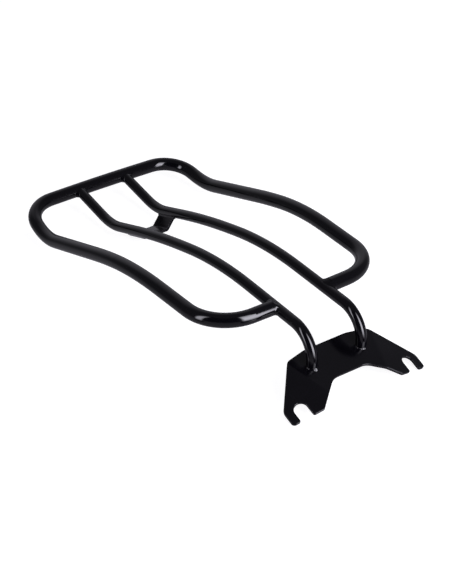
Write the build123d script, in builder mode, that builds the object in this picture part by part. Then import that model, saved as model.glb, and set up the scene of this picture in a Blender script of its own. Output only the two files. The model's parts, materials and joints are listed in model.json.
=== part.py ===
from build123d import *
import os
from math import copysign, cos, radians, sin

# Solo-seat luggage rack of welded steel tube, for a motorcycle's rear fender.
# A bent hoop and two rails make the deck. The rails come down at the front onto a folded
# plate with an open bolt slot in each wing, and a pressed strap joins them at the rear.
#
# Frame: millimetres, +Z up, +Y towards the rear of the rack, +X to the right when looking
# along +Y. The origin is the bottom centre of the whole rack, standing on a flat surface.
# Route points are measured from the foot: the middle of the line that joins the centres
# of the two rails where they meet the top of the plate.

# ---- driving dimensions ----
hoop_diameter = 16.0
rail_diameter = 12.0
tube_wall = 1.5
plate_thickness = 3.0
rail_spacing = 64.0
plate_tilt = 16.2          # the plate's front edge is the lower one
wing_fold = 16.7           # how far each wing is folded down
fold_lean = 17.0           # how far each fold line leans outward towards the rear
slot_width = 14.6
strap_length = 32.6        # along the rails
strap_bolt_hole = 9.0

foot_y = -211.3
foot_z = 29.2

hoop_r = hoop_diameter / 2
rail_r = rail_diameter / 2
rail_x = rail_spacing / 2

# Right half of the hoop's centre line: x, y, z from the foot, then the bend radius there.
hoop_end = (rail_x + rail_r - 1.2, 60.2, 40.3)
hoop_bends = [
    ((107.5, 63.5, 38.5), 50.0),      # front corner
    ((111.5, 202.5, 40.5), 350.0),    # deck starts to fall
    ((111.0, 263.5, 27.0), 640.0),
    ((112.0, 399.0, -14.0), 84.0),    # kick-up
    ((106.0, 458.5, -2.0), 39.0),     # rear corner
]
hoop_rear = (0.0, 461.0, -2.0)
hoop_rear_bow = 2000.0

# A rail's centre line in its upright plane: y, z from the foot, then the bend radius there.
rail_bends = [
    ((-4.0, 35.5), 31.0),             # leg turns into the deck
    ((166.5, 43.5), 425.0),
    ((284.0, 17.0), 955.0),
    ((385.5, -16.5), 76.0),           # kick-up
]
rail_below_foot = (0.9, -8.0)
foot_cut = (rail_spacing + 40.0, 40.0, 20.0)


def at(x, y, z):
    """A point given from the foot, in the rack's frame."""
    return Vector(x, foot_y + y, foot_z + z)


def mirrored(point):
    return (-point[0], point[1], point[2])


# ---- centre lines ----
right_points = [point for point, radius in hoop_bends]
right_radii = [radius for point, radius in hoop_bends]
left_points = [mirrored(point) for point in reversed(right_points)]
hoop_points = [hoop_end, *right_points, hoop_rear, *left_points, mirrored(hoop_end)]
hoop_radii = [*right_radii, hoop_rear_bow, *reversed(right_radii)]

with BuildLine() as hoop_route:
    FilletPolyline(*[at(*point) for point in hoop_points], radius=hoop_radii)


def rail_route(x):
    """Centre line of the rail at x, from below the plate to the axis of the hoop's rear bar."""
    corners = [rail_below_foot, *[point for point, radius in rail_bends], hoop_rear[1:]]
    with BuildLine() as route:
        FilletPolyline(
            *[at(x, y, z) for y, z in corners], radius=[radius for point, radius in rail_bends]
        )
    return route


def start_plane(route):
    line = route.line
    return Plane(origin=line @ 0, z_dir=line % 0)


def solid_form(route, radius):
    """The space that a tube takes up, used to fit its neighbours against it."""
    with BuildPart() as form:
        with BuildSketch(start_plane(route)):
            Circle(radius)
        sweep(path=route.line)
    return form.part


hoop_form = solid_form(hoop_route, hoop_r)
rail_routes = {"left": rail_route(-rail_x), "right": rail_route(rail_x)}
rail_forms = {side: solid_form(route, rail_r) for side, route in rail_routes.items()}

# ---- planes of the plate ----
foot = at(0, 0, 0)
panel_up = Vector(0, -sin(radians(plate_tilt)), cos(radians(plate_tilt)))
panel = Plane(origin=foot, x_dir=(1, 0, 0), z_dir=panel_up)

# ---- hoop: one bent tube, its two ends coped onto the outer sides of the rails ----
with BuildPart() as outer_hoop:
    with BuildSketch(start_plane(hoop_route)):
        Circle(hoop_r)
        Circle(hoop_r - tube_wall, mode=Mode.SUBTRACT)
    sweep(path=hoop_route.line)
    for form in rail_forms.values():
        add(form, mode=Mode.SUBTRACT)

# ---- rails: one bent tube each, cut to the plate at the foot and coped onto the rear bar ----
rails = {}
for side, route in rail_routes.items():
    with BuildPart() as rail:
        with BuildSketch(start_plane(route)):
            Circle(rail_r)
            Circle(rail_r - tube_wall, mode=Mode.SUBTRACT)
        sweep(path=route.line)
        with Locations(panel):
            Box(*foot_cut, align=(Align.CENTER, Align.CENTER, Align.MAX), mode=Mode.SUBTRACT)
        add(hoop_form, mode=Mode.SUBTRACT)
    rails[side] = rail

# ---- mounting plate: a flat blank with each wing folded down about a leaning line ----
# Right half of the blank, in the panel's plane: x, then distance towards the rear.
blank_corners = [
    ((21.0, -23.0), 16.0),
    ((51.4, -49.4), 3.5),
    ((87.8, -47.2), 4.0),
    ((87.8, -29.7), 10.0),
    ((51.4, 16.3), 9.0),
    ((27.0, 21.3), 30.0),
]
blank_front = -23.0
blank_rear = 21.3
slot_centre = (71.0, -36.5)          # centre of the slot's round closed end
slot_mouth = -60.0                   # past the wing's front edge
slot_lip_radius = 2.4
fold_x = 49.3
fold_radius = 10.5                   # at mid-thickness
beyond_plate = 15.0                  # how far the cutting forms reach past the sheet
sheet_reach = 120.0

panel_middle = panel.offset(-plate_thickness / 2)
fold_point = panel_middle.from_local_coords(Vector(fold_x, 0, 0))
fold_ahead = Vector(fold_x + sin(radians(fold_lean)), cos(radians(fold_lean)), 0)
fold_direction = panel_middle.from_local_coords(fold_ahead) - fold_point
fold_line = Axis(fold_point, fold_direction)
across_fold = fold_direction.cross(panel_up)


def fold_plane(angle):
    """A plane through the fold line, facing outward and turned down about it by angle."""
    outward = across_fold.rotate(Axis((0, 0, 0), fold_direction), angle)
    return Plane(origin=fold_point, x_dir=fold_direction, z_dir=outward)


with BuildPart() as outline_form:
    with BuildSketch(panel_middle):
        with BuildLine():
            FilletPolyline(
                (0, blank_front),
                *[corner for corner, radius in blank_corners],
                (0, blank_rear),
                radius=[radius for corner, radius in blank_corners],
            )
            Line((0, blank_rear), (0, blank_front))
        make_face()
        with Locations((slot_centre[0], (slot_centre[1] + slot_mouth) / 2)):
            SlotCenterToCenter(
                slot_centre[1] - slot_mouth, slot_width, rotation=90, mode=Mode.SUBTRACT
            )
        mouth_corners = vertices().sort_by_distance((slot_centre[0], slot_mouth, 0))[:2]
        fillet(mouth_corners, slot_lip_radius)
    extrude(amount=beyond_plate, both=True)

with BuildPart() as wing_form:
    add(outline_form.part)
    split(bisect_by=fold_plane(-wing_fold / 2), keep=Keep.TOP)
folded_wing_form = wing_form.part.rotate(fold_line, wing_fold)

with BuildPart() as bent_sheet:
    with BuildSketch(Plane(origin=fold_point, x_dir=across_fold, z_dir=-fold_direction)):
        with BuildLine():
            FilletPolyline(
                (-sheet_reach, 0),
                (0, 0),
                (sheet_reach * cos(radians(wing_fold)), -sheet_reach * sin(radians(wing_fold))),
                radius=fold_radius,
            )
        trace(line_width=plate_thickness)
    extrude(amount=sheet_reach, both=True)

with BuildPart() as mounting_plate:
    add(outline_form.part)
    split(bisect_by=fold_plane(wing_fold / 2), keep=Keep.BOTTOM)
    add(folded_wing_form)
    add(bent_sheet.part, mode=Mode.INTERSECT)
    mirror(about=Plane.YZ)

# ---- rear strap: a pressed strip under the rails, welded by its two edges ----
strap_front = 343.4                  # where its front edge crosses the rails
strap_front_z = -2.6
strap_slope = 18.3                   # the rails fall at this angle there
strap_depth = 15.74                  # from the rails' axes down to the strip's mid-plane
strap_flat = 32.0                    # between the corners of its two bends
strap_bend_radius = 4.0

strap_direction = Vector(0, cos(radians(strap_slope)), -sin(radians(strap_slope)))
strap_plane = Plane(
    origin=at(0, strap_front, strap_front_z), x_dir=(-1, 0, 0), z_dir=strap_direction
)

with BuildPart() as rear_strap:
    with BuildSketch(strap_plane):
        with BuildLine():
            FilletPolyline(
                (-rail_x, 0),
                (-strap_flat / 2, -strap_depth),
                (strap_flat / 2, -strap_depth),
                (rail_x, 0),
                radius=strap_bend_radius,
            )
        trace(line_width=plate_thickness)
    extrude(amount=strap_length)
    with Locations(
        Plane(
            origin=strap_plane.from_local_coords(Vector(0, 0, strap_length / 2)),
            x_dir=(1, 0, 0),
            z_dir=strap_plane.y_dir,
        )
    ):
        Hole(strap_bolt_hole / 2)
    for form in rail_forms.values():
        add(form, mode=Mode.SUBTRACT)

# ---- weld beads: one solid at each joint, fitted against the pieces that it joins ----
bead_radius = 2.4
bead_sink = 0.4                      # how far a bead's middle sits inside the joint's corner
front_bead_height = 1.3              # proud of the hoop, at its end
front_bead_length = 3.6              # along the hoop, tapering to nothing
front_bead_reach = 4.0               # over the top of the rail, closing the hoop's end
front_bead_rounding = [1.0, 1.5, 0.2]
strap_bead_margin = 2.2
strap_bead_height = 1.8

hoop_line = hoop_route.line
hoop_end_planes = {
    "left": Plane(origin=hoop_line @ 1, z_dir=-(hoop_line % 1)),
    "right": start_plane(hoop_route),
}
side_x = {"left": -rail_x, "right": rail_x}
welds = {}

for side, x in side_x.items():
    with BuildPart() as bead:
        with Locations(Plane(origin=at(x, 0, 0), z_dir=panel_up)):
            Torus(rail_r + bead_sink, bead_radius)
        add(rail_forms[side], mode=Mode.SUBTRACT)
        split(bisect_by=panel, keep=Keep.TOP)
    welds[side + "_foot"] = bead

    end = hoop_end_planes[side]
    through_end = Plane(
        origin=end.origin, x_dir=end.x_dir, z_dir=end.x_dir.cross(end.z_dir)
    )
    with BuildPart() as bead:
        with BuildSketch(through_end):
            with BuildLine():
                FilletPolyline(
                    (0, -front_bead_reach),
                    (rail_r - 1, -front_bead_reach),
                    (hoop_r + front_bead_height, 0),
                    (hoop_r, front_bead_length),
                    (0, front_bead_length),
                    radius=front_bead_rounding,
                )
                Line((0, front_bead_length), (0, -front_bead_reach))
            make_face()
        revolve(axis=Axis(end.origin, end.z_dir))
        add(rail_forms[side], mode=Mode.SUBTRACT)
        add(outer_hoop.part, mode=Mode.SUBTRACT)
    welds[side + "_front"] = bead

    rail_line = rail_routes[side].line
    bar_surface = rail_line @ 1 - (rail_line % 1) * (hoop_r - bead_sink)
    with BuildPart() as bead:
        with Locations(Plane(origin=bar_surface, z_dir=rail_line % 1)):
            Torus(rail_r + bead_sink, bead_radius)
        add(rail_forms[side], mode=Mode.SUBTRACT)
        add(hoop_form, mode=Mode.SUBTRACT)
    welds[side + "_rear"] = bead

    leg_foot = Vector(copysign(strap_flat / 2, -x), -strap_depth, strap_length / 2)
    leg_top = Vector(-x, 0, strap_length / 2)
    leg_direction = (leg_top - leg_foot).normalized()
    joint = strap_plane.from_local_coords(leg_top - leg_direction * rail_r)
    towards_rail = strap_plane.from_local_coords(leg_top) - joint
    joint_plane = Plane(origin=joint, x_dir=strap_direction, z_dir=towards_rail)
    with BuildPart() as bead:
        with BuildSketch(joint_plane):
            SlotOverall(
                strap_length + 2 * strap_bead_margin, plate_thickness + 2 * strap_bead_margin
            )
        extrude(amount=strap_bead_height, both=True)
        add(rail_forms[side], mode=Mode.SUBTRACT)
        add(rear_strap.part, mode=Mode.SUBTRACT)
    welds[side + "_strap"] = bead

# ---- write the pieces ----
outer_hoop.part.label = "outer_hoop"
mounting_plate.part.label = "mounting_plate"
rear_strap.part.label = "rear_strap"

os.makedirs("parts", exist_ok=True)
export_step(outer_hoop.part, "parts/outer_hoop.step")
for side, rail in rails.items():
    rail.part.label = side + "_rail"
    export_step(rail.part, "parts/" + side + "_rail.step")
export_step(mounting_plate.part, "parts/mounting_plate.step")
export_step(rear_strap.part, "parts/rear_strap.step")
for joint_name, bead in welds.items():
    bead.part.label = joint_name + "_weld"
    export_step(bead.part, "parts/" + joint_name + "_weld.step")
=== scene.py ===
import json
import math

import bmesh
import bpy
from mathutils import Matrix, Vector, noise
from mathutils.geometry import delaunay_2d_cdt


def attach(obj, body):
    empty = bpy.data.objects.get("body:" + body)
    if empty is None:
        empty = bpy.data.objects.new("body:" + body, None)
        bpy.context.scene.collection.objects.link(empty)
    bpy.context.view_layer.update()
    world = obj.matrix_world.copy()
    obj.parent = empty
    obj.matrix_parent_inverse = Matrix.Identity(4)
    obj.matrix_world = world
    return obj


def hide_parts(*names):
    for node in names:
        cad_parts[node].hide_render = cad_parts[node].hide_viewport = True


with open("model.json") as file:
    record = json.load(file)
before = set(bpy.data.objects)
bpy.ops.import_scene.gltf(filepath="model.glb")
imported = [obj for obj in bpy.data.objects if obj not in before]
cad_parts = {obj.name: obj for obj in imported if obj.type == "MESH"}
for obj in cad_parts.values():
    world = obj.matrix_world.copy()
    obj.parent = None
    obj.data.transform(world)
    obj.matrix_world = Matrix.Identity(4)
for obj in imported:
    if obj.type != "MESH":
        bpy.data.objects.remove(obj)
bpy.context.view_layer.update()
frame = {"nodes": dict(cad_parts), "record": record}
nodes = frame["nodes"]
record = frame["record"]

# ---- materials ----
PAINT_COLOUR = (0.0010, 0.0009, 0.0016)
BLOTCH_SCALE = 26.0            # clouds in the coat's colour and gloss
BLOTCH_COLOUR = 1.5            # the lightest cloud's colour, as a share of the coat's
BLOTCH_FROM, BLOTCH_TO = 0.3, 0.7              # the part of the clouds' range that is used
SMOOTHEST, ROUGHEST = 0.75, 1.3                # roughness in it, as shares of the coat's
PEEL_SCALE = 420.0             # the orange peel's lumps


def add(tree, kind, **settings):
    """A new shader node with its named inputs set."""
    node = tree.nodes.new(kind)
    for name, value in settings.items():
        node.inputs[name.replace("_", " ")].default_value = value
    return node


def paint(name, roughness, peel_height):
    """Gloss paint: a dark coat with a faint orange-peel surface and a slightly uneven gloss."""
    material = bpy.data.materials.new(name)
    material.use_nodes = True
    tree = material.node_tree
    shader = tree.nodes["Principled BSDF"]
    shader.inputs["IOR"].default_value = 1.5
    place = tree.nodes.new("ShaderNodeTexCoord").outputs["Object"]

    blotch = add(tree, "ShaderNodeTexNoise", Scale=BLOTCH_SCALE, Detail=3.0, Roughness=0.55)
    tree.links.new(place, blotch.inputs["Vector"])
    tint = tree.nodes.new("ShaderNodeMix")
    tint.data_type = "RGBA"
    tint.inputs[6].default_value = (*PAINT_COLOUR, 1.0)
    tint.inputs[7].default_value = (*[BLOTCH_COLOUR * c for c in PAINT_COLOUR], 1.0)
    tree.links.new(blotch.outputs["Fac"], tint.inputs[0])
    tree.links.new(tint.outputs[2], shader.inputs["Base Color"])

    gloss = add(tree, "ShaderNodeMapRange")
    gloss.inputs["From Min"].default_value = BLOTCH_FROM
    gloss.inputs["From Max"].default_value = BLOTCH_TO
    gloss.inputs["To Min"].default_value = roughness * SMOOTHEST
    gloss.inputs["To Max"].default_value = roughness * ROUGHEST
    tree.links.new(blotch.outputs["Fac"], gloss.inputs["Value"])
    tree.links.new(gloss.outputs["Result"], shader.inputs["Roughness"])

    peel = add(tree, "ShaderNodeTexNoise", Scale=PEEL_SCALE, Detail=1.5, Roughness=0.5)
    tree.links.new(place, peel.inputs["Vector"])
    bump = add(tree, "ShaderNodeBump", Strength=1.0, Distance=peel_height)
    tree.links.new(peel.outputs["Fac"], bump.inputs["Height"])
    tree.links.new(bump.outputs["Normal"], shader.inputs["Normal"])
    return material


finishes = {
    "tube_paint": paint("tube_paint", roughness=0.07, peel_height=0.000012),
    "plate_paint": paint("plate_paint", roughness=0.16, peel_height=0.00002),
    "weld_paint": paint("weld_paint", roughness=0.09, peel_height=0.00002),
}

for part in record["subparts"]:
    data = nodes[part["node"]].data
    data.materials.clear()
    data.materials.append(finishes[part["material_slot"]])

# ---- sizes shared with the CAD, in metres ----
MM = 0.001
FOOT = Vector((0.0, -211.3, 29.2)) * MM      # middle of the line between the rails' feet
RAIL_X = 32 * MM
RAIL_R = 6 * MM
HOOP_R = 8 * MM
SHEET = 3 * MM                               # thickness of the plate and the strap
PLATE_TILT = math.radians(16.2)
X_AXIS = Vector((1, 0, 0))
PANEL_UP = Vector((0, -math.sin(PLATE_TILT), math.cos(PLATE_TILT)))
PANEL_BACK = Vector((0, math.cos(PLATE_TILT), math.sin(PLATE_TILT)))


def from_foot(x, y, z):
    """A point given in millimetres from the foot, in the row frame."""
    return FOOT + Vector((x, y, z)) * MM


# ---- mesh helpers ----
EDGE_ARCS = 4                                # steps round a cut edge
NUDGE = 0.01 * MM                            # step used to find a surface's direction


def rounded_loop(corners, steps):
    """A closed outline through the corners (x, y, radius), each replaced by an arc."""
    loop = []
    count = len(corners)
    for i, (x, y, radius) in enumerate(corners):
        here = Vector((x, y))
        to_last = (Vector(corners[i - 1][:2]) - here).normalized()
        to_next = (Vector(corners[(i + 1) % count][:2]) - here).normalized()
        half = to_last.angle(to_next) / 2
        inward = (to_last + to_next).normalized()
        centre = here + inward * (radius / math.sin(half))
        start = here + to_last * (radius / math.tan(half)) - centre
        turn = (math.pi - 2 * half) * (1 if to_last.cross(to_next) < 0 else -1)
        number = max(2, math.ceil(abs(turn) / math.radians(steps)))
        for k in range(number + 1):
            loop.append(centre + Matrix.Rotation(turn * k / number, 2) @ start)
    return loop


def divided(loop, spacing):
    """The same closed outline with no side longer than spacing."""
    points = []
    for i, here in enumerate(loop):
        step = loop[(i + 1) % len(loop)] - here
        parts = max(1, math.ceil(step.length / spacing))
        if step.length > 1e-9:
            points += [here + step * (k / parts) for k in range(parts)]
    return points


def outward_normals(loop):
    """Unit normals at an outline's points, to the right of its direction."""
    normals = []
    for i in range(len(loop)):
        along = loop[(i + 1) % len(loop)] - loop[i - 1]
        normals.append(Vector((along.y, -along.x)).normalized())
    return normals


def inside(loop, q, margin):
    """Whether q is inside an outline and further than margin from its points."""
    crossings = 0
    for i, a in enumerate(loop):
        b = loop[(i + 1) % len(loop)]
        if (a - q).length < margin:
            return False
        if (a.y > q.y) != (b.y > q.y) and q.x < a.x + (q.y - a.y) / (b.y - a.y) * (b.x - a.x):
            crossings += 1
    return crossings % 2 == 1


def piece_from(name, vertices, faces, slot_name, stands_for, normals=None):
    """A finished piece: its mesh, its paint, and its place in the frame."""
    mesh = bpy.data.meshes.new(name)
    mesh.from_pydata(vertices, [], faces)
    work = bmesh.new()
    work.from_mesh(mesh)
    bmesh.ops.recalc_face_normals(work, faces=work.faces)
    work.to_mesh(mesh)
    work.free()
    mesh.shade_smooth()
    if normals:
        mesh.normals_split_custom_set_from_vertices(normals)
    mesh.materials.append(finishes[slot_name])
    piece = bpy.data.objects.new(name, mesh)
    bpy.context.scene.collection.objects.link(piece)
    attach(piece, "root")
    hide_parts(stands_for)
    return piece


def sheet_piece(name, outline, holes, rows, place, edge, slot_name, stands_for):
    """A cut and folded sheet, its cut edges rounded over by edge as paint leaves them.
    rows are points inside the outline where the sheet needs vertices to bend, and place
    takes a point of the flat blank and its height over the mid-plane to the frame."""
    half = SHEET / 2
    stack = []
    for k in range(EDGE_ARCS + 1):
        a = math.pi / 2 * k / EDGE_ARCS
        stack.append((math.sin(a), math.cos(a)))
    stack += [(across, -up) for across, up in reversed(stack)]
    blank, faces, levels_of = [], [], []
    for loop in [outline, *holes]:
        out = outward_normals(loop)
        levels = []
        for across, up in stack:
            levels.append(range(len(blank), len(blank) + len(loop)))
            height = math.copysign(half - edge + edge * abs(up), up)
            for p, n in zip(loop, out):
                blank.append((p - n * edge * (1 - across), height, n * across, up))
        levels_of.append(levels)
        for low, high in zip(levels, levels[1:]):
            for i in range(len(loop)):
                j = (i + 1) % len(loop)
                faces.append((low[i], low[j], high[j], high[i]))
    for level, up in ((0, 1), (-1, -1)):
        ids, sides = [], []
        for levels in levels_of:
            first, count = len(ids), len(levels[level])
            ids += levels[level]
            sides += [(first + i, first + (i + 1) % count) for i in range(count)]
        ids += range(len(blank), len(blank) + len(rows))
        blank += [(q, half * up, Vector((0, 0)), up) for q in rows]
        gaps = [[blank[i][0] for i in levels[level]] for levels in levels_of[1:]]
        found = delaunay_2d_cdt([blank[i][0] for i in ids], sides, [], 2, 1e-9)
        for triangle in found[2]:
            corners = [ids[found[3][v][0]] for v in triangle]
            middle = sum((blank[i][0] for i in corners), Vector((0, 0))) / 3
            if not any(inside(loop, middle, 0) for loop in gaps):
                faces.append(tuple(corners))
    vertices, normals = [], []
    for q, height, across, up in blank:
        here = place(q, height)
        vertices.append(here)
        normals.append((place(q + across * NUDGE, height + up * NUDGE) - here).normalized())
    return piece_from(name, vertices, faces, slot_name, stands_for, normals)


# ---- mounting plate ----
# Right half of the flat blank, in millimetres: x, distance to the rear, corner radius.
PLATE_CORNERS = [
    (21.0, -23.0, 16.0),
    (51.4, -49.4, 3.5),
    (63.7, -48.66, 2.4),
    (63.7, -29.2, 7.29),
    (78.3, -29.2, 7.29),
    (78.3, -47.78, 2.4),
    (87.8, -47.2, 4.0),
    (87.8, -29.7, 10.0),
    (51.4, 16.3, 9.0),
    (27.0, 21.3, 30.0),
]
FOLD_X = 49.3 * MM
FOLD_LEAN = math.radians(17.0)
WING_FOLD = math.radians(16.7)
FOLD_RADIUS = 10.5 * MM
FOLD_REACH = FOLD_RADIUS * math.tan(WING_FOLD / 2)
FOLD_ROWS = 3                                # rows of points each side of a fold's middle
ROW_STEP = 2 * MM
ROW_STEPS = range(-40, 31)
ROW_CLEAR = 1.6 * MM                         # how far they stay from the cut edge
FOLD_ALONG = Vector((math.sin(FOLD_LEAN), math.cos(FOLD_LEAN)))
FOLD_ACROSS = Vector((math.cos(FOLD_LEAN), -math.sin(FOLD_LEAN)))


def place_plate(q, height):
    """A point of the plate's flat blank, folded down past the nearer fold line."""
    side = -1 if q.x < 0 else 1
    from_fold = Vector((abs(q.x) - FOLD_X, q.y))
    across, along = from_fold.dot(FOLD_ACROSS), from_fold.dot(FOLD_ALONG)
    turn = WING_FOLD * min(max((across + FOLD_REACH) / (2 * FOLD_REACH), 0), 1)
    past = max(across - FOLD_REACH, 0)
    if turn > 0:
        reach = FOLD_RADIUS + height
        across = -FOLD_REACH + reach * math.sin(turn) + past * math.cos(turn)
        height = reach * math.cos(turn) - FOLD_RADIUS - past * math.sin(turn)
    flat = FOLD_ACROSS * across + FOLD_ALONG * along
    x, back = side * (flat.x + FOLD_X), flat.y
    return FOOT + X_AXIS * x + PANEL_BACK * back + PANEL_UP * (height - SHEET / 2)


def plate_rows(outline):
    """Points across each fold, in rows along it, that stay clear of the cut edge."""
    rows = []
    for k in range(-FOLD_ROWS, FOLD_ROWS + 1):
        for step in ROW_STEPS:
            q = FOLD_ACROSS * (FOLD_REACH * k / FOLD_ROWS) + FOLD_ALONG * (step * ROW_STEP)
            for side in (-1, 1):
                point = Vector((side * (q.x + FOLD_X), q.y))
                if inside(outline, point, ROW_CLEAR):
                    rows.append(point)
    return rows


def make_plate():
    """The mounting plate, with both wings folded down."""
    right = [(x * MM, y * MM, r * MM) for x, y, r in PLATE_CORNERS]
    left = [(-x, y, r) for x, y, r in reversed(right)]
    outline = divided(rounded_loop(right + left, 8), 1.5 * MM)
    sheet_piece(
        "plate", outline, [], plate_rows(outline), place_plate,
        0.55 * MM, "plate_paint", "mounting_plate",
    )


# ---- rear strap ----
STRAP_FRONT = from_foot(0, 343.4, -2.6)
STRAP_SLOPE = math.radians(18.3)
STRAP_AHEAD = Vector((0, math.cos(STRAP_SLOPE), -math.sin(STRAP_SLOPE)))
STRAP_UP = Vector((0, math.sin(STRAP_SLOPE), math.cos(STRAP_SLOPE)))
STRAP_LENGTH = 32.6 * MM
STRAP_DEPTH = 15.74 * MM
STRAP_FLAT = 16 * MM                         # half of the flat, to the bends' corners
STRAP_BEND = 4 * MM
STRAP_HOLE = 4.5 * MM                        # radius
HOLE_SIDES = 48
BEND_STEPS = 8
LENGTH_STEPS = 16
LEG_TURN = math.atan2(STRAP_DEPTH, RAIL_X - STRAP_FLAT)
LEG_BACK = STRAP_BEND * math.tan(LEG_TURN / 2)
LEG_WHOLE = math.hypot(STRAP_DEPTH, RAIL_X - STRAP_FLAT)
LEG_IN_RAIL = 0.6 * MM
LEG_STRAIGHT = LEG_WHOLE - LEG_BACK - RAIL_R + LEG_IN_RAIL
STRAP_HALF = (STRAP_FLAT - LEG_BACK) + STRAP_BEND * LEG_TURN + LEG_STRAIGHT


def place_strap(q, height):
    """A point of the strap's flat blank, bent up into its leg."""
    side = -1 if q.x < 0 else 1
    out = abs(q.x) - (STRAP_FLAT - LEG_BACK)
    turn = min(max(out / STRAP_BEND, 0), LEG_TURN)
    past = max(out - STRAP_BEND * LEG_TURN, 0)
    x, up = abs(q.x), height
    if turn > 0:
        reach = STRAP_BEND - height
        x = STRAP_FLAT - LEG_BACK + reach * math.sin(turn) + past * math.cos(turn)
        up = STRAP_BEND - reach * math.cos(turn) + past * math.sin(turn)
    return STRAP_FRONT + X_AXIS * side * x + STRAP_AHEAD * q.y + STRAP_UP * (up - STRAP_DEPTH)


def make_strap():
    """The rear strap, with both legs bent up to the rails and a bolt hole in its flat."""
    ends = [
        (STRAP_HALF, 0),
        (STRAP_HALF, STRAP_LENGTH),
        (-STRAP_HALF, STRAP_LENGTH),
        (-STRAP_HALF, 0),
    ]
    outline = divided(rounded_loop([(x, y, 1.0 * MM) for x, y in ends], 15), 1.0 * MM)
    hole = [
        Vector((math.sin(a) * STRAP_HOLE, STRAP_LENGTH / 2 + math.cos(a) * STRAP_HOLE))
        for a in [2 * math.pi * k / HOLE_SIDES for k in range(HOLE_SIDES)]
    ]
    rows = []
    for k in range(BEND_STEPS + 1):
        x = STRAP_FLAT - LEG_BACK + STRAP_BEND * LEG_TURN * k / BEND_STEPS
        for step in range(1, LENGTH_STEPS):
            rows += [Vector((side * x, STRAP_LENGTH * step / LENGTH_STEPS)) for side in (-1, 1)]
    sheet_piece("strap", outline, [hole], rows, place_strap, 0.25 * MM, "plate_paint", "rear_strap")


# ---- weld beads ----
BEAD_STEPS = 10                              # steps across a weld bead
RIPPLE = 1.5 * MM                            # length of one ripple along a bead
BEAD_WANDER = 0.12                           # how far a bead's size wanders, as a share
WANDER_LENGTH = 5 * MM
BEAD_SINK = 0.15 * MM                        # its edges sit this far under the surfaces
ROOT_IN_MEMBER = 0.8 * MM                    # its hidden root sits this far in the member
ROOT_IN_SURFACE = 0.6 * MM                   # and this far in the surface
LEAST_SLANT = 0.35                           # stops a bead's foot running far on a graze
GAP_REACH = 1.2                              # how far its foot follows the member over a gap
RIPPLE_BOW = 0.28                            # a ripple leads at the bead's middle, in ripples
RIPPLE_MEAN = 0.64                           # keeps the ripples' average height near zero
RIPPLE_FADE = 2.2                            # how quickly they die out at the bead's edges
LEFT_FOOT_EXTRA = 1.9 * MM                   # how much fuller a foot bead is in front
RIGHT_FOOT_EXTRA = 0.5 * MM
RAIL_DOWN = Vector((0, 4.9, -43.5)).normalized()     # along a rail's leg, to the plate
RAIL_DECK = Vector((0, 170.5, 8.0)).normalized()     # along a rail where the hoop meets it
RAIL_END = Vector((0, 75.5, 14.5)).normalized()      # along a rail's kick-up, to the bar


def cylinder_field(centre, along, radius):
    """Distance from a tube's outer surface, and the direction away from it."""
    along = along.normalized()

    def field(p):
        away = p - centre
        away = away - along * away.dot(along)
        return away.length - radius, away.normalized()

    return field


def plane_field(centre, normal):
    return lambda p: ((p - centre).dot(normal), normal)


def to_surface(field, p):
    distance, away = field(p)
    return p - away * distance


def bead_piece(name, section, toward, field, leg, spread, back, seed, crown, ripple_height):
    """A weld bead round a joint.
    section gives points of the joining member's outline with its outward normals, and the
    member runs along toward until it meets the surface that field describes. leg(normal)
    is how far the bead reaches along the member at a point with that outward normal, and
    spread(normal) how far over the surface. A member stops after back, met or not.
    crown is how far the bead's face swells, as a share of its width, or sinks if negative."""
    toward = toward.normalized()
    seams = []
    for p, n in section:
        low, high = -20 * MM, back
        if field(p + toward * high)[0] > 0:
            low = high
        for _ in range(40):
            middle = (low + high) / 2
            if field(p + toward * middle)[0] > 0:
                low = middle
            else:
                high = middle
        seams.append((p + toward * low, n))
    count = len(seams)
    runs = [(seams[(i + 1) % count][0] - seams[i][0]).length for i in range(count)]
    total = sum(runs)
    ripples = round(total / RIPPLE)
    vertices, faces, run = [], [], 0.0
    for i, (s, n) in enumerate(seams):
        gap, away = field(s)
        over = n - away * n.dot(away)
        over = over / max(over.length, LEAST_SLANT)
        uneven = noise.noise(Vector((run / WANDER_LENGTH, seed, 0.0)))
        reach = leg(n) * (1 + BEAD_WANDER * uneven)
        width = spread(n) * (1 - BEAD_WANDER * uneven)
        top = s - toward * reach - n * BEAD_SINK
        foot = to_surface(field, s + over * width + toward * max(gap, 0) * GAP_REACH)
        foot = foot - field(foot)[1] * BEAD_SINK
        bulge = (foot - s - toward * reach).normalized()
        size = (foot - top).length
        root = s - n * ROOT_IN_MEMBER - away * (ROOT_IN_SURFACE + min(gap, 0))
        for k in range(BEAD_STEPS + 1):
            u = k / BEAD_STEPS
            arch = math.sin(math.pi * u)
            phase = run / total * ripples + RIPPLE_BOW * arch
            scallop = abs(math.sin(math.pi * phase)) - RIPPLE_MEAN
            height = arch * size * crown + min(arch * RIPPLE_FADE, 1) * ripple_height * scallop
            if k in (0, BEAD_STEPS):
                height = 0
            vertices.append(top.lerp(foot, u) + bulge * height)
        vertices.append(root)
        run += runs[i]
    ring = BEAD_STEPS + 2
    for i in range(count):
        j = (i + 1) % count
        for k in range(ring):
            m = (k + 1) % ring
            faces.append((i * ring + k, i * ring + m, j * ring + m, j * ring + k))
    return piece_from(name + "_bead", vertices, faces, "weld_paint", name)


def tube_section(centre, toward, radius, count):
    """Points and outward normals round a tube that runs along toward."""
    first = toward.orthogonal().normalized()
    second = toward.normalized().cross(first)
    section = []
    for i in range(count):
        a = 2 * math.pi * i / count
        n = first * math.cos(a) + second * math.sin(a)
        section.append((centre + n * radius, n))
    return section


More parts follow.
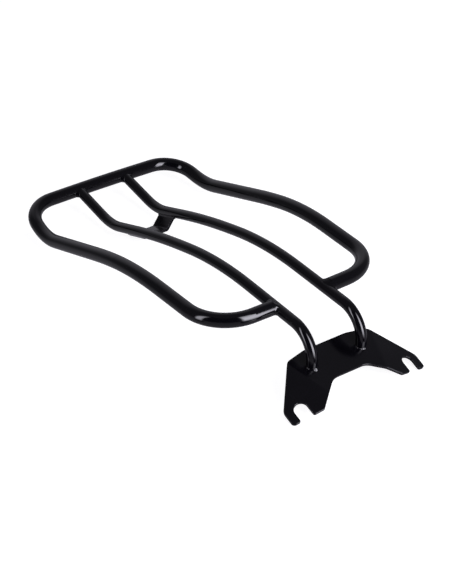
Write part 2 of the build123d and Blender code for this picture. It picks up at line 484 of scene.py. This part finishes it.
def strip_section(centre, along, across, length, thickness, count):
    """Points and outward normals round a strip's rounded end."""
    half = thickness / 2
    flat = length / 2 - half
    arc = math.pi * half
    section = []
    for i in range(count):
        run = (4 * flat + 2 * arc) * i / count
        end = 1 if run < 2 * flat + arc else -1
        run -= 0 if end > 0 else 2 * flat + arc
        if run < 2 * flat:
            n = across * end
            p = n * half + along * end * (run - flat)
        else:
            a = (run - 2 * flat) / half
            n = (across * math.cos(a) + along * math.sin(a)) * end
            p = along * end * flat + n * half
        section.append((centre + p, n))
    return section


def lobe(plain, extra, direction, sharpness):
    """A bead size that grows by extra on the side of the joint that faces direction."""
    direction = direction.normalized()
    return lambda n: plain + extra * max(n.dot(direction), 0) ** sharpness


def foot_weld(name, sign, seed):
    """Round a rail's foot on the plate, fuller on the side that faces the front."""
    extra = LEFT_FOOT_EXTRA if sign < 0 else RIGHT_FOOT_EXTRA
    size = lobe(0.7 * MM, extra, Vector((0.3, -1, 0)), 3)
    section = tube_section(FOOT + X_AXIS * sign * RAIL_X, RAIL_DOWN, RAIL_R, 220)
    bead_piece(
        name, section, RAIL_DOWN, plane_field(FOOT, PANEL_UP), size, size,
        back=10 * MM, seed=seed, crown=0.06, ripple_height=0.12 * MM,
    )


def front_weld(name, sign, seed):
    """Round a hoop end on the outer side of its rail."""
    hoop_end = from_foot(sign * 36.8, 60.2, 40.3)
    toward = Vector((-sign * 70.7, -3.3, 1.8))
    rail = cylinder_field(from_foot(0, 60.2, 38.5) + X_AXIS * sign * RAIL_X, RAIL_DECK, RAIL_R)
    top_rear = Vector((0, 1, 0.5))
    bead_piece(
        name, tube_section(hoop_end, toward, HOOP_R, 260), toward, rail,
        lobe(3.4 * MM, 1.4 * MM, top_rear, 2), lobe(2.4 * MM, 1.0 * MM, top_rear, 2),
        back=0.0, seed=seed, crown=-0.12, ripple_height=0.03 * MM,
    )


def rear_weld(name, sign, seed):
    """Round a rail's rear end on the hoop's rear bar, fuller on its left."""
    end = from_foot(0, 460.2, -2.0) + X_AXIS * sign * RAIL_X
    bar = cylinder_field(end, Vector((1, -sign * 0.016, 0)), HOOP_R)
    bead_piece(
        name, tube_section(end, RAIL_END, RAIL_R, 220), RAIL_END, bar,
        lobe(2.0 * MM, 2.6 * MM, -X_AXIS, 5), lobe(1.9 * MM, 2.6 * MM, -X_AXIS, 5),
        back=5 * MM, seed=seed, crown=0.0, ripple_height=0.10 * MM,
    )


def strap_weld(name, sign, seed):
    """Round a strap leg's end under its rail."""
    rail_point = STRAP_FRONT + STRAP_AHEAD * (STRAP_LENGTH / 2) + X_AXIS * sign * RAIL_X
    leg_up = (X_AXIS * sign * (RAIL_X - STRAP_FLAT) + STRAP_UP * STRAP_DEPTH).normalized()
    leg_side = STRAP_AHEAD.cross(leg_up)
    leg_end = rail_point - leg_up * RAIL_R
    bead_piece(
        name, strip_section(leg_end, STRAP_AHEAD, leg_side, STRAP_LENGTH, SHEET, 300), leg_up,
        cylinder_field(rail_point, STRAP_AHEAD, RAIL_R), lambda n: 2.0 * MM, lambda n: 1.9 * MM,
        back=5 * MM, seed=seed, crown=0.08, ripple_height=0.12 * MM,
    )


def make_welds():
    """All eight beads, each with its own seed for its unevenness."""
    for number, (side, sign) in enumerate((("left", -1), ("right", 1))):
        foot_weld(side + "_foot_weld", sign, number)
        front_weld(side + "_front_weld", sign, number + 2)
        rear_weld(side + "_rear_weld", sign, number + 4)
        strap_weld(side + "_strap_weld", sign, number + 6)


make_plate()
make_strap()
make_welds()

# ---- camera ----
CAMERA_PLACE = (-0.8610, -1.2495, 0.9691)
CAMERA_YAW = 34.891            # degrees from +Y towards +X
CAMERA_DOWN = 32.662
CAMERA_ROLL = -0.677
CAMERA_LENS = 98.71            # mm
SENSOR = 36.0                  # mm, for the view's long side


def camera_axes(yaw, down, roll):
    """Right, up and back of a camera that looks along yaw, tipped down and rolled."""
    ahead = Vector((math.sin(yaw) * math.cos(down), math.cos(yaw) * math.cos(down), -math.sin(down)))
    level = Vector((math.cos(yaw), -math.sin(yaw), 0.0))
    over = level.cross(ahead)
    right = math.cos(roll) * level + math.sin(roll) * over
    up = math.cos(roll) * over - math.sin(roll) * level
    return right, up, -ahead


camera = bpy.data.objects.new("camera", bpy.data.cameras.new("camera"))
bpy.context.scene.collection.objects.link(camera)
camera.data.lens = CAMERA_LENS
camera.data.sensor_width = SENSOR
axes = camera_axes(*[math.radians(a) for a in (CAMERA_YAW, CAMERA_DOWN, CAMERA_ROLL)])
camera.matrix_world = Matrix.Translation(CAMERA_PLACE) @ Matrix(axes).transposed().to_4x4()
camera.data.clip_start = 0.05
camera.data.clip_end = 100.0
bpy.context.scene.camera = camera

# ---- floor and light ----
FLOOR_HALF = 25.0
FLOOR_GREY = 0.35
FLOOR_ROUGHNESS = 0.9
FLOOR_GLOW = 0.9               # keeps the floor pale and its shadows weak
STUDIO_TINT = (0.98, 0.96, 1.07)
SOFTBOX_DISTANCE = 1.3
SOFTBOX_MARGIN = 0.2           # how far a panel reaches past its light, above and below
ROOM_ABOVE = 0.10              # light from the upper and the lower half of the room
ROOM_BELOW = 0.30


def make_floor():
    mesh = bpy.data.meshes.new("floor")
    corners = [(x * FLOOR_HALF, y * FLOOR_HALF, 0) for x, y in ((-1, -1), (1, -1), (1, 1), (-1, 1))]
    mesh.from_pydata(corners, [], [(0, 1, 2, 3)])
    floor = bpy.data.objects.new("floor", mesh)
    bpy.context.scene.collection.objects.link(floor)
    material = bpy.data.materials.new("floor")
    material.use_nodes = True
    shader = material.node_tree.nodes["Principled BSDF"]
    shader.inputs["Base Color"].default_value = (FLOOR_GREY, FLOOR_GREY, FLOOR_GREY, 1)
    shader.inputs["Roughness"].default_value = FLOOR_ROUGHNESS
    shader.inputs["Emission Color"].default_value = (1, 1, 1, 1)
    shader.inputs["Emission Strength"].default_value = FLOOR_GLOW
    mesh.materials.append(material)
    floor.visible_glossy = False


make_floor()

world = bpy.data.worlds.new("studio")
world.use_nodes = True
bpy.context.scene.world = world
sky = world.node_tree
background = sky.nodes["Background"]
direction = sky.nodes.new("ShaderNodeTexCoord").outputs["Generated"]


def faded(tree, value, start, end):
    """A smooth step of value from 0 at start to 1 at end."""
    step = tree.nodes.new("ShaderNodeMapRange")
    step.interpolation_type = "SMOOTHSTEP"
    step.inputs["From Min"].default_value = min(start, end)
    step.inputs["From Max"].default_value = max(start, end)
    if start > end:
        step.inputs["To Min"].default_value = 1.0
        step.inputs["To Max"].default_value = 0.0
    tree.links.new(value, step.inputs["Value"])
    return step.outputs["Result"]


def combined(tree, operation, first, second):
    """A math node that joins two sockets, or a socket and a number."""
    node = tree.nodes.new("ShaderNodeMath")
    node.operation = operation
    for socket, value in zip(node.inputs, (first, second)):
        if isinstance(value, (int, float)):
            socket.default_value = value
        else:
            tree.links.new(value, socket)
    return node.outputs[0]


def patch(tree, across, upward, sides, rise, strength):
    """A soft-edged patch of light. sides and rise each give where it starts to show, where
    it is full, where it starts to fade and where it ends."""
    width = combined(
        tree, "MULTIPLY", faded(tree, across, *sides[:2]), faded(tree, across, sides[3], sides[2])
    )
    height = combined(
        tree, "MULTIPLY", faded(tree, upward, *rise[:2]), faded(tree, upward, rise[3], rise[2])
    )
    return combined(tree, "MULTIPLY", combined(tree, "MULTIPLY", width, height), strength)


def softbox(name, seen_from, azimuth, sides, rise, radiance, slope=0.0):
    """An upright glowing panel SOFTBOX_DISTANCE away from a point, at an azimuth from +Y
    towards +X. sides and rise are measured on it in metres from the point's own height and
    azimuth, and its top and bottom slope by slope."""
    a = math.radians(azimuth)
    out = Vector((math.sin(a), math.cos(a), 0))
    along = Vector((math.cos(a), -math.sin(a), 0))
    mesh = bpy.data.meshes.new(name)
    left, right = sides[0], sides[3]
    low, high = rise[0] - SOFTBOX_MARGIN, rise[3] + SOFTBOX_MARGIN
    corners = [(left, low, 0), (right, low, 0), (right, high, 0), (left, high, 0)]
    mesh.from_pydata(corners, [], [(0, 1, 2, 3)])
    holder = bpy.data.objects.new(name, mesh)
    frame_axes = Matrix((along, Vector((0, 0, 1)), -out)).transposed().to_4x4()
    holder.matrix_world = Matrix.Translation(seen_from + out * SOFTBOX_DISTANCE) @ frame_axes
    bpy.context.scene.collection.objects.link(holder)
    material = bpy.data.materials.new(name)
    material.use_nodes = True
    tree = material.node_tree
    place = tree.nodes.new("ShaderNodeSeparateXYZ")
    tree.links.new(tree.nodes.new("ShaderNodeTexCoord").outputs["Object"], place.inputs[0])
    upward = combined(
        tree, "SUBTRACT", place.outputs["Y"], combined(tree, "MULTIPLY", place.outputs["X"], slope)
    )
    glow = tree.nodes["Principled BSDF"]
    glow.inputs["Base Color"].default_value = (0, 0, 0, 1)
    glow.inputs["Specular IOR Level"].default_value = 0
    glow.inputs["Emission Color"].default_value = (*STUDIO_TINT, 1)
    strength = patch(tree, place.outputs["X"], upward, sides, rise, radiance)
    tree.links.new(strength, glow.inputs["Emission Strength"])
    mesh.materials.append(material)
    holder.visible_camera = False


softbox(
    "front_softbox", seen_from=Vector((-0.05, -0.15, 0.07)), azimuth=170,
    sides=(-0.43, -0.32, 0.25, 0.45), rise=(-0.5, 0.27, 0.45, 3.0), radiance=10.8, slope=0.35,
)
softbox(
    "side_softbox", seen_from=Vector((-0.10, -0.12, 0.06)), azimuth=269,
    sides=(-0.20, -0.06, 0.10, 0.24), rise=(-0.5, 0.24, 0.40, 2.7), radiance=6.3,
)

# The room is dim above, lighter below the horizon and beyond the rack, and darkest behind
# the camera.


def room_patch(azimuth, sides, rise, strength):
    """A patch of the room's light at an azimuth from +Y towards +X, its limits in degrees."""
    a = math.radians(azimuth)
    shares = []
    for way in ((math.cos(a), -math.sin(a), 0), (math.sin(a), math.cos(a), 0)):
        product = sky.nodes.new("ShaderNodeVectorMath")
        product.operation = "DOT_PRODUCT"
        product.inputs[1].default_value = way
        sky.links.new(direction, product.inputs[0])
        shares.append(product.outputs["Value"])
    turn = combined(sky, "ARCTAN2", *shares)
    sides, rise = [[math.radians(v) for v in limits] for limits in (sides, rise)]
    return patch(sky, turn, elevation, sides, rise, strength)


bearing = sky.nodes.new("ShaderNodeSeparateXYZ")
sky.links.new(direction, bearing.inputs[0])
elevation = combined(sky, "ARCSINE", bearing.outputs["Z"], 0.0)
below = faded(sky, elevation, math.radians(4), math.radians(-22))
room = combined(sky, "MULTIPLY", below, ROOM_BELOW - ROOM_ABOVE)
room = combined(sky, "ADD", room, ROOM_ABOVE)
beyond = room_patch(azimuth=32, sides=(-60, -20, 15, 50), rise=(-15, 8, 30, 68), strength=0.30)
behind = room_patch(azimuth=228, sides=(-48, -32, 32, 48), rise=(-8, 4, 50, 75), strength=-0.08)
room = combined(sky, "ADD", room, beyond)
room = combined(sky, "ADD", room, behind)
tint = sky.nodes.new("ShaderNodeVectorMath")
tint.operation = "SCALE"
tint.inputs[0].default_value = STUDIO_TINT
sky.links.new(room, tint.inputs["Scale"])
sky.links.new(tint.outputs[0], background.inputs["Color"])

bpy.context.scene.view_settings.view_transform = "Standard"
